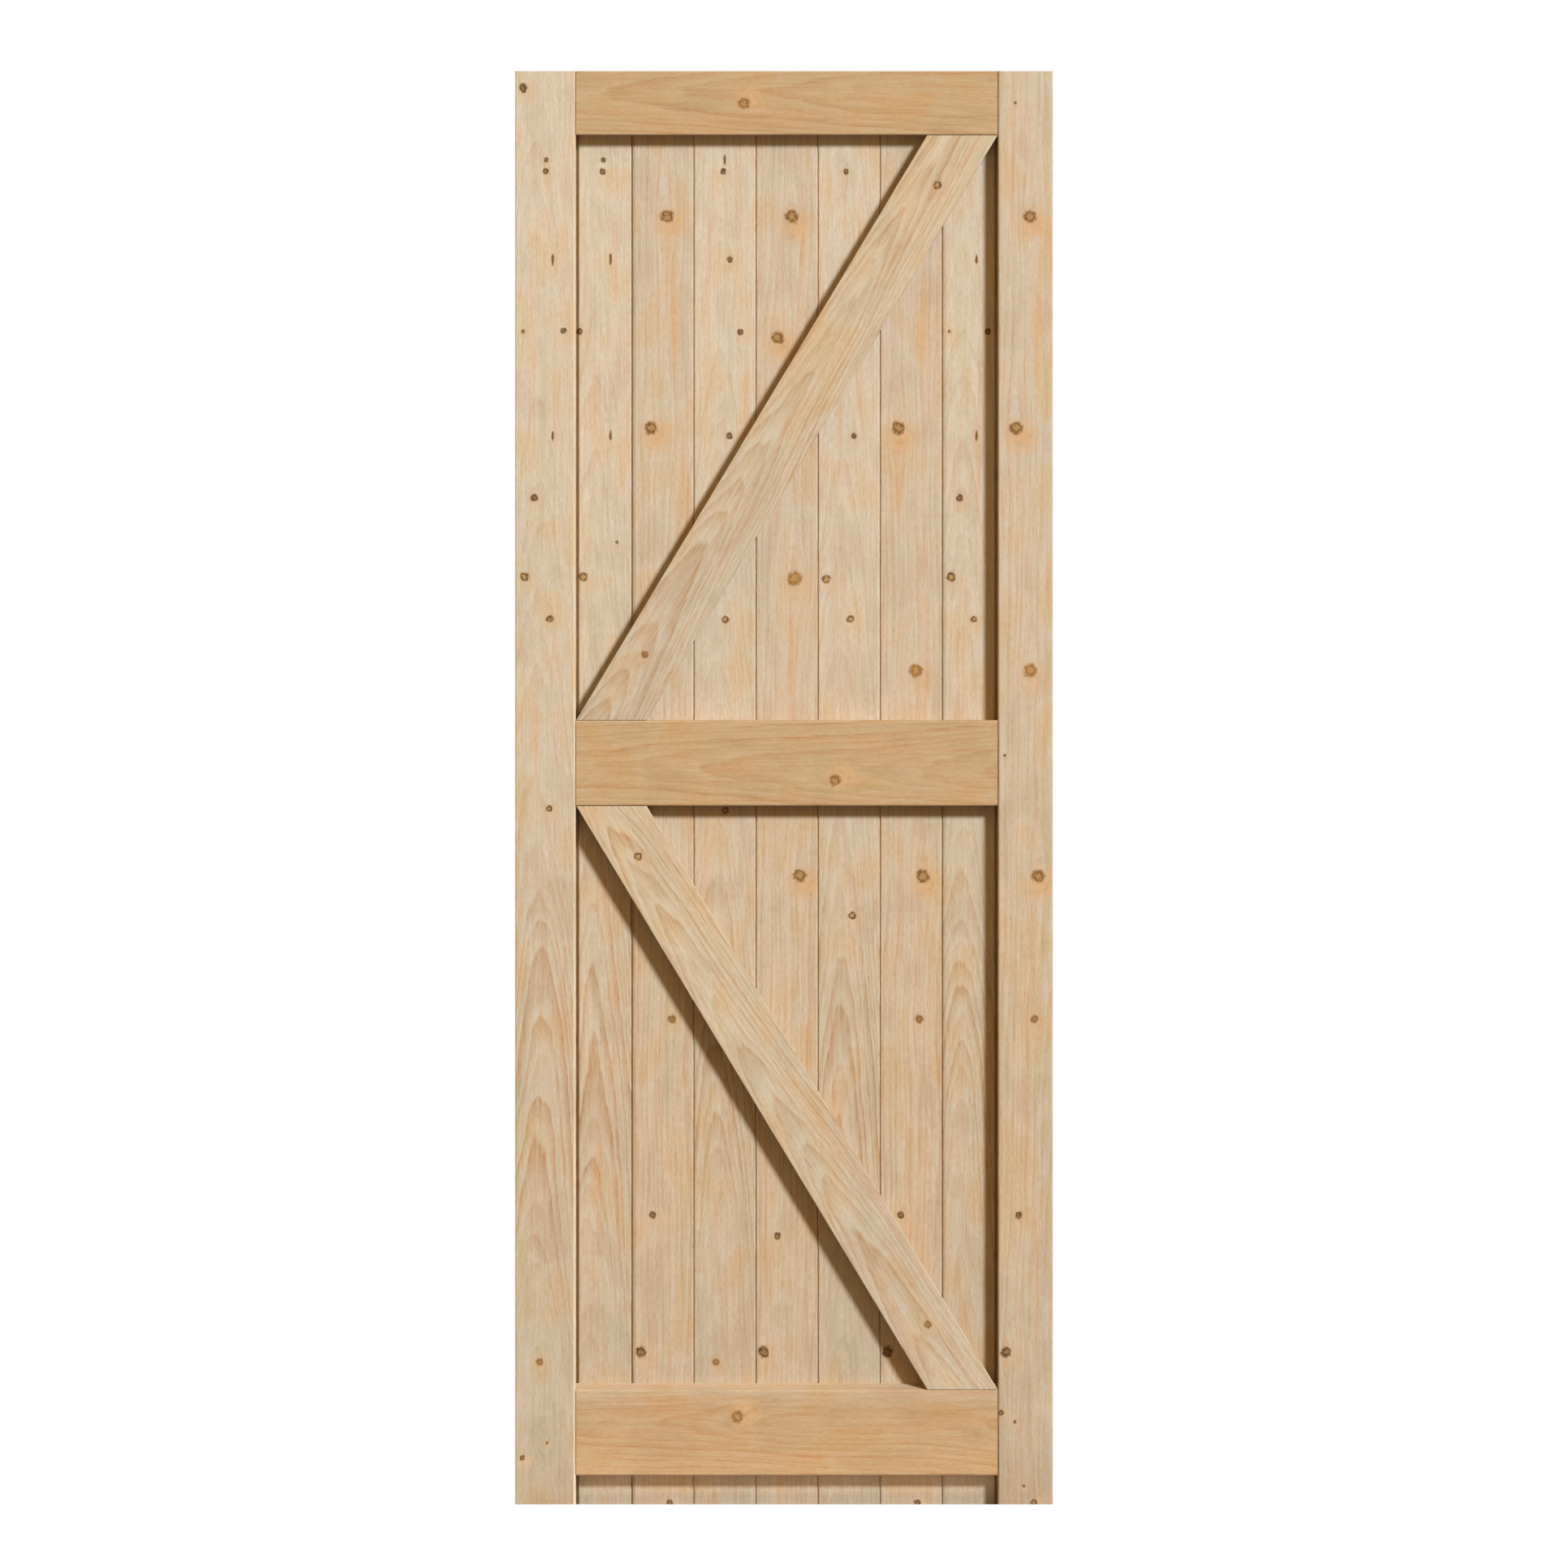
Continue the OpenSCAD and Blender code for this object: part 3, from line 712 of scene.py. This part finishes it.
# the painted highlight on the left stile's inner arris starts at the first distance and is full at the
# second; painted shade covers the stile's inner side beyond the third
ARRIS_HIGHLIGHT_FROM, ARRIS_HIGHLIGHT_FULL, ROUNDING = 0.0045, 0.002, 0.001  # m from the inner edge
inner_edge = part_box("left_stile")[1].x
# painted highlight: the inner arris of the left stile is painted pale
PAINTED_HIGHLIGHT_ARRIS = ("X", inner_edge - ARRIS_HIGHLIGHT_FROM, inner_edge - ARRIS_HIGHLIGHT_FULL, "MIX", "#f1e0c7")
# painted shade: the stile's inner side, in the gap beside the boards, is painted darker
PAINTED_SHADE_INNER_SIDE = ("X", inner_edge - ROUNDING, inner_edge, "MULTIPLY", "#c0b5a2")
planed_pine(
    "left_stile", 1.0, UPRIGHT, (-11, 26), FLAT_SAWN, RISING_DAMP, PAINTED_SHADE_STILE_FEET, PAINTED_HIGHLIGHT_ARRIS, PAINTED_SHADE_INNER_SIDE)
planed_pine("right_stile", 21.0, UPRIGHT, STRAIGHT_HEART, STRAIGHT, RISING_DAMP, PAINTED_SHADE_STILE_FEET)

# %% [markdown]
# ## Boards
#
# The odd boards are flat sawn like the left stile, the even ones straight like the right stile, with
# broad orange and pink bands between large knots. Mixing both is what keeps a boarded panel lively.
# Damp rises in them as in the stiles. Below the bottom rail its tint is divided out again, which is
# painted light that keeps the shaded strip under the rail light, and the tips are painted darker as
# painted shade. Two of the joints are darker along one side.

# %% Boards
BOARD_COUNT = 7
FIRST_SEED, SEED_STEP = 40.0, 7.0
FLAT_HEART = (-15, 24)
# painted light: below the bottom rail the damp tint is divided out, which lightens the shade there
PAINTED_LIGHT_UNDER_RAIL = ("Z", 0.13, 0.07, "DIVIDE", DAMP_TINT)
# painted shade: the tips of the boards are painted darker, against the light that the floor throws up
PAINTED_SHADE_BOARD_TIPS = ("Z", 0.03, 0.012, "MULTIPLY", "#dadde2")
# these boards are darker along the joint at their left edge
JOINT_DARKER = {2: "#d2cabe", 7: "#e2ddd4"}     # in the joint at the left edge of these boards
JOINT_DARKER_FROM, JOINT_DARKEST_AT = 0.006, 0.0015  # m from that edge
for number in range(1, BOARD_COUNT + 1):
    piece = "board_%d" % number
    flat = number % 2 == 1
    wear_and_painted_light = [RISING_DAMP, PAINTED_LIGHT_UNDER_RAIL, PAINTED_SHADE_BOARD_TIPS]
    if number in JOINT_DARKER:
        left_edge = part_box(piece)[0].x
        wear_and_painted_light.append(("X", left_edge + JOINT_DARKER_FROM, left_edge + JOINT_DARKEST_AT, "MULTIPLY", JOINT_DARKER[number]))
    planed_pine(
        piece, FIRST_SEED + SEED_STEP * number, UPRIGHT, FLAT_HEART if flat else STRAIGHT_HEART,
        FLAT_SAWN if flat else STRAIGHT, *wear_and_painted_light)

# %% [markdown]
# ## Rails
#
# The rails are redder stock from a trunk that tapers little, so long gentle flames lie along them.
# They dried evenly, with a little less tint. The bottom rail is painted browner, which is painted
# shade against the light that the floor throws up, and its sloped upper edge is painted paler and
# fades into the face, which is a painted highlight.

# %% Rails
LEVEL = math.pi / 2
RED_STOCK = {
    "taper": 0.04,
    "ring": 5.0,
    "figure": (0.5, 0.5),
    "spring": ("#dbbb91", "#dbbb91"),
    "late": "#bb8038",
    "tints": 0.9,
    "sides": "#d2cec8",
}
# painted shade: the bottom rail's stock is darker, against the light that the floor throws up
SHADED_STOCK = {**RED_STOCK, "spring": ("#d2b188", "#d2b188")}
# painted highlight: the sloped upper edge of the bottom rail is painted paler
PAINTED_HIGHLIGHT_TOP_EDGE = ("Z", 0.135, 0.178, "MIX", "#e2cbae")
planed_pine("top_rail", 101.0, LEVEL, (12, 40), RED_STOCK)
planed_pine("middle_rail", 113.0, LEVEL, (-8, 45), RED_STOCK)
planed_pine("bottom_rail", 127.0, LEVEL, (10, 45), SHADED_STOCK, PAINTED_HIGHLIGHT_TOP_EDGE)

# %% [markdown]
# ## Braces
#
# The two braces are cut from one pale board, and their grain follows their length. Their tilt is
# worked out from their box: a bar of a known width whose ends are cut level fills a box as wide as
# its run and its level cut together.

# %% Braces
BRACE_WIDTH = 0.086
PALE_STOCK = {
    "taper": 0.06,
    "ring": 4.5,
    "figure": (0.7, 0.7),
    "spring": ("#e1d1bb", "#e9d7bb"),
    "late": "#c08f56",
    "tints": 1.0,
    # painted shade: the braces' sides are darker still, so that they throw less light onto the boards
    "sides": "#aaa69f",
}


def tilt_of(piece):
    """A brace's angle from upright, from its box.

    With a run r, a height h and a width w, the level cut at its end is w times the slanting length
    over h, and the box is r plus that cut. Squaring gives a quadratic in r."""
    low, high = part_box(piece)
    wide, tall = high.x - low.x, high.z - low.z
    share = (BRACE_WIDTH / tall) ** 2
    a, b, c = 1 - share, -2 * wide, wide ** 2 - share * tall ** 2
    run = (-b - math.sqrt(b * b - 4 * a * c)) / (2 * a)
    return math.atan2(run, tall)


for piece, seed, way in (("upper_brace", 141.0, 1), ("lower_brace", 157.0, -1)):
    tilt = way * tilt_of(piece)
    planed_pine(piece, seed, -tilt, (-16, 26), PALE_STOCK)
    print(piece, "leans", round(math.degrees(tilt), 1), "degrees from upright")

# %% [markdown]
# ## Wedges
#
# Two wedges lock each tenon where it comes through the stile. They were split from offcuts of the
# same pine, driven in and trimmed flush with a saw, so only their end grain shows: small dark rings,
# rough and a little woolly.

# %% Wedges
WEDGE_RING = 2.2      # ring width of the offcut, in mm
SAW_MARK = 0.9        # spacing of the saw's scratches, in mm
WAVES_PER_UNIT = 3.2  # bands that a wave texture of scale 1 draws in one unit, about 20 / 2 pi
RING_WOBBLE = 1.5
SAWN_BUMP = 0.5
SAWN_ROUGHNESS = (0.8, 0.65)

sawn_pine, tree = blank("sawn_pine_wedge")
place = add(tree, "ShaderNodeTexCoord").outputs["Object"]
grown = add(tree, "ShaderNodeTexWave", {
    "Vector": place, "Scale": MM / WEDGE_RING / WAVES_PER_UNIT, "Distortion": RING_WOBBLE,
    "Detail": 2.0}, wave_profile="SAW", bands_direction="Y")
scratches = add(tree, "ShaderNodeTexNoise", {"Vector": place, "Scale": MM / SAW_MARK, "Detail": 2.0})
ringed = add(tree, "ShaderNodeValToRGB", {"Fac": grown}, stops=[
    (0.0, "#cfa873"), (0.6, "#c29459"), (1.0, "#9a6a37")])
woolly = add(tree, "ShaderNodeValToRGB", {"Fac": scratches}, stops=[(0.35, "#d8cbb8"), (0.65, "#ffffff")])
colour = add(tree, "ShaderNodeMix", {
    "Factor": 1.0, "A": ringed, "B": woolly}, data_type="RGBA", blend_type="MULTIPLY")
bump = add(tree, "ShaderNodeBump", {"Height": scratches, "Strength": SAWN_BUMP, "Distance": RELIEF})
roughness = add(tree, "ShaderNodeMapRange", {
    "Value": grown, "To Min": SAWN_ROUGHNESS[0], "To Max": SAWN_ROUGHNESS[1]})
shader = add(tree, "ShaderNodeBsdfPrincipled", {
    "Base Color": colour, "Roughness": roughness, "Normal": bump, "IOR": CELLULOSE_IOR,
    "Specular IOR Level": PORE_SPECULAR})
add(tree, "ShaderNodeOutputMaterial", {"Surface": shader})
dress(["top_rail_wedges", "middle_rail_wedges", "bottom_rail_wedges"], sawn_pine)
print("wedges finished:", sawn_pine.name)

# %% [markdown]
# ## Nails
#
# Lost-head nails are cut from bright drawn steel wire. Only the small heads show, punched just
# below the outer face. Drawing leaves patches of scale on the wire and the punch dulls the head, so
# the steel is grey, patchy and only half shiny.

# %% Nails
WIRE_PATCH = 1.2                # patches of mill scale on the wire, in mm
SCALE_RELIEF = RELIEF / 5       # m
SCALE_BUMP = 0.4
STEEL_ROUGHNESS = (0.55, 0.35)  # in the scale, and on bright wire

drawn_steel, tree = blank("drawn_steel_nail")
place = add(tree, "ShaderNodeTexCoord").outputs["Object"]
scale = add(tree, "ShaderNodeTexNoise", {"Vector": place, "Scale": MM / WIRE_PATCH, "Detail": 3.0})
grey = add(tree, "ShaderNodeValToRGB", {"Fac": scale}, stops=[(0.3, "#6e6c69"), (0.7, "#a3a4a5")])
roughness = add(tree, "ShaderNodeMapRange", {
    "Value": scale, "To Min": STEEL_ROUGHNESS[0], "To Max": STEEL_ROUGHNESS[1]})
bump = add(tree, "ShaderNodeBump", {"Height": scale, "Strength": SCALE_BUMP, "Distance": SCALE_RELIEF})
shader = add(tree, "ShaderNodeBsdfPrincipled", {
    "Base Color": grey, "Metallic": 1.0, "Roughness": roughness, "Normal": bump})
add(tree, "ShaderNodeOutputMaterial", {"Surface": shader})
dress(["middle_rail_nails", "bottom_rail_nails", "upper_brace_nails", "lower_brace_nails"], drawn_steel)
print("nails finished:", drawn_steel.name)

# %% [markdown]
# ## Floor
#
# The leaf stands on a plain pale floor that fades to white, so no edge shows behind it. A pale
# floor would throw light up into the recesses of the door and wash out their shadows, so only the
# camera and mirrors see the pale colour everywhere. Soft light meets it only close to the leaf,
# where it brightens the foot, and a darker one further away.

# %% Floor
FLOOR_REACH = 12.0                    # m each way
FADE_START, FADE_END = 1.6, 4.0       # m from the leaf
BOUNCE_START, BOUNCE_END = 0.1, 0.2   # m in front of the leaf's middle
FLOOR_DROP = 0.0002                   # m, keeps the floor just clear of the foot
SEEN_FLOOR = "#c8c8c8"
NEAR_FLOOR, FAR_FLOOR = "#f2f2f4", "#5a5650"


def seen_directly(tree):
    """1 for rays from the camera, from mirrors and through glass, and 0 for soft light."""
    path = add(tree, "ShaderNodeLightPath")
    mirrored = add(tree, "ShaderNodeMath", {
        0: path.outputs["Is Camera Ray"], 1: path.outputs["Is Glossy Ray"]}, operation="MAXIMUM")
    return add(tree, "ShaderNodeMath", {
        0: mirrored, 1: path.outputs["Is Transmission Ray"]}, operation="MAXIMUM")


pale_floor, tree = blank("pale_floor")
direct = seen_directly(tree)
place = add(tree, "ShaderNodeTexCoord").outputs["Object"]
before = add(tree, "ShaderNodeSeparateXYZ", {"Vector": place}).outputs["Y"]
clear_of_leaf = add(tree, "ShaderNodeMath", {0: before}, operation="ABSOLUTE")
darker = add(tree, "ShaderNodeMapRange", {
    "Value": clear_of_leaf, "From Min": BOUNCE_START, "From Max": BOUNCE_END})
for_soft_light = add(tree, "ShaderNodeMix", {
    "Factor": darker, "A": linear(NEAR_FLOOR), "B": linear(FAR_FLOOR)}, data_type="RGBA")
floor_colour = add(tree, "ShaderNodeMix", {
    "Factor": direct, "A": for_soft_light, "B": linear(SEEN_FLOOR)}, data_type="RGBA")
matt = add(tree, "ShaderNodeBsdfDiffuse", {"Color": floor_colour})
white = add(tree, "ShaderNodeEmission", {"Color": linear("#ffffff"), "Strength": 1.0})
away = add(tree, "ShaderNodeVectorMath", {0: place}, operation="LENGTH")
faded = add(tree, "ShaderNodeMapRange", {
    "Value": away, "From Min": FADE_START, "From Max": FADE_END}, interpolation_type="SMOOTHSTEP")
fading = add(tree, "ShaderNodeMath", {0: faded, 1: direct}, operation="MULTIPLY")
floor_shader = add(tree, "ShaderNodeMixShader", {0: fading, 1: matt, 2: white})
add(tree, "ShaderNodeOutputMaterial", {"Surface": floor_shader})

corners = FLOOR_REACH * np.array([(-1, -1, 0), (1, -1, 0), (1, 1, 0), (-1, 1, 0)], float)
corners[:, 2] = LEAF_FOOT - FLOOR_DROP
floor_mesh = bpy.data.meshes.new("floor")
floor_mesh.from_pydata(corners.tolist(), [], [(0, 1, 2, 3)])
floor_mesh.materials.append(pale_floor)
floor = bpy.data.objects.new("floor", floor_mesh)
bpy.context.scene.collection.objects.link(floor)
print("floor:", 2 * FLOOR_REACH, "m square")

# %% [markdown]
# ## Light
#
# The leaf is lit as in a studio: one soft key from the upper right in front, low warm fill all
# round, and a second lamp behind for the boarded face. The frame stands 27 mm in front of the
# boards and its shadows are about 20 mm wide, which gives the key's direction; the shadows' soft
# edges give its size. Key and fill add up to about one on the framed face, so that a colour renders
# as it is written, and the cool key and warm fill cancel there.

# %% World and lamps
FILL = "#a48852"
LAMPS = {  # where each lamp stands, and its part of the light on the face that it is turned to
    "key": (Vector((0.79, -1.0, 0.66)), 0.9),
    "back": (Vector((-0.55, 0.75, 0.55)), 0.85),
}
LAMP_COLOUR = "#deecff"
LAMP_SIZE = 0.17  # rad

world = bpy.data.worlds.new("studio")
bpy.context.scene.world = world
world.use_nodes = True
tree = world.node_tree
tree.nodes.clear()
sky = add(tree, "ShaderNodeMix", {
    "Factor": seen_directly(tree), "A": linear(FILL), "B": linear("#ffffff")}, data_type="RGBA")
background = add(tree, "ShaderNodeBackground", {"Color": sky, "Strength": 1.0})
add(tree, "ShaderNodeOutputWorld", {"Surface": background})

for name, (towards, share) in LAMPS.items():
    # A lamp of strength pi that faces a matt white surface square on renders it as 1.
    lamp = bpy.data.lights.new(name, "SUN")
    lamp.energy = share * math.pi / abs(towards.normalized().y)
    lamp.angle = LAMP_SIZE
    lamp.color = linear(LAMP_COLOUR)[:3]
    stand = bpy.data.objects.new(name, lamp)
    stand.rotation_euler = towards.to_track_quat("Z", "Y").to_euler()
    bpy.context.scene.collection.objects.link(stand)
    print("lamp:", name, round(lamp.energy, 2))

# %% [markdown]
# ## Camera
#
# The leaf is seen square on, with no vanishing lines, as in a catalogue. An orthographic camera
# gives exactly that. It stands level in front of the framed face, and its frame is a little higher
# than the leaf.

# %% Camera
FRAME_HEIGHT = 2.223       # m across the whole picture
EYE_ABOVE_MIDDLE = 0.0053  # m
STAND_OFF = 4.0            # m in front of the leaf

camera_data = bpy.data.cameras.new("camera")
camera_data.type = "ORTHO"
camera_data.ortho_scale = FRAME_HEIGHT
camera = bpy.data.objects.new("camera", camera_data)
camera.location = (0, -STAND_OFF, (LEAF_FOOT + LEAF_TOP) / 2 + EYE_ABOVE_MIDDLE)
camera.rotation_euler = (math.pi / 2, 0, 0)
bpy.context.scene.collection.objects.link(camera)
bpy.context.scene.camera = camera
bpy.context.scene.view_settings.view_transform = "Standard"
print("camera at", tuple(round(v, 3) for v in camera.location))
